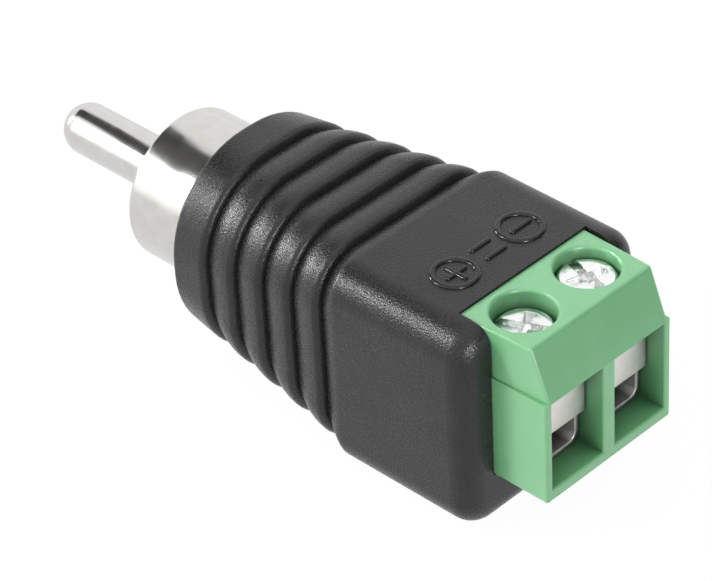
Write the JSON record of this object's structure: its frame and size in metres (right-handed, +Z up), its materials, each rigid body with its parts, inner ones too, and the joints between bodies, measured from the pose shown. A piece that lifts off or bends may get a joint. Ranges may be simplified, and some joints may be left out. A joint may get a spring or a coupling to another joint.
{
  "type": "phono plug with screw terminal",
  "caption": "Phono plug with a nickel pin and ground shell, a ribbed black housing and a green terminal block whose screws lift cages that clamp bare wires.",
  "frame": {"origin": "on the plug axis, in the plane of the collar's front face", "axes": "+X along the plug axis from the pin's tip towards the wire entries, +Z up towards the screw heads, plus pole on the -Y side"},
  "size_m": [0.0421, 0.0142, 0.0132],
  "materials": {
    "housing_plastic": "black moulded plastic with a fine leathery grain",
    "nickel_plate": "bright nickel plate over brass",
    "insulator_plastic": "off-white moulded plastic",
    "terminal_plastic": "satin green moulded nylon",
    "tinned_contact": "tinned",
    "cage_steel": "dull nickel plate over steel",
    "screw_zinc": "bright zinc plate",
    "lead_copper": "bare copper",
    "signal_insulation": "red sleeve",
    "ground_insulation": "black sleeve",
    "solder": "dull solder"
  },
  "bodies": {
    "body": {"housing": "housing_plastic", "ground_shell": "nickel_plate", "pin_insulator": "insulator_plastic", "centre_pin": "nickel_plate", "terminal_block": "terminal_plastic", "contact_plus": "tinned_contact", "contact_minus": "tinned_contact", "signal_core": "lead_copper", "signal_sleeve": "signal_insulation", "ground_core": "lead_copper", "ground_sleeve": "ground_insulation", "solder_joints": "solder"},
    "plus_screw": {"screw_plus": "screw_zinc"},
    "plus_cage": {"cage_plus": "cage_steel"},
    "minus_screw": {"screw_minus": "screw_zinc"},
    "minus_cage": {"cage_minus": "cage_steel"}
  },
  "joints": [
    {"name": "plus_screw_turn", "type": "hinge", "parent": "body", "child": "plus_screw", "pos_m": [0.0231, -0.0025, 0.00525], "axis": [0, 0, -1], "range_deg": [0, 1035]},
    {"name": "plus_cage_lift", "type": "slide", "parent": "body", "child": "plus_cage", "axis": [0, 0, 1], "range_m": [0, 0.00129]},
    {"name": "minus_screw_turn", "type": "hinge", "parent": "body", "child": "minus_screw", "pos_m": [0.0231, 0.0025, 0.00565], "axis": [0, 0, -1], "range_deg": [0, 1035]},
    {"name": "minus_cage_lift", "type": "slide", "parent": "body", "child": "minus_cage", "axis": [0, 0, 1], "range_m": [0, 0.00129]}
  ],
  "couplings": [
    {"joint": "plus_screw_turn", "follows": "plus_cage_lift", "rad_per_m": 13963},
    {"joint": "minus_screw_turn", "follows": "minus_cage_lift", "rad_per_m": 13963}
  ]
}
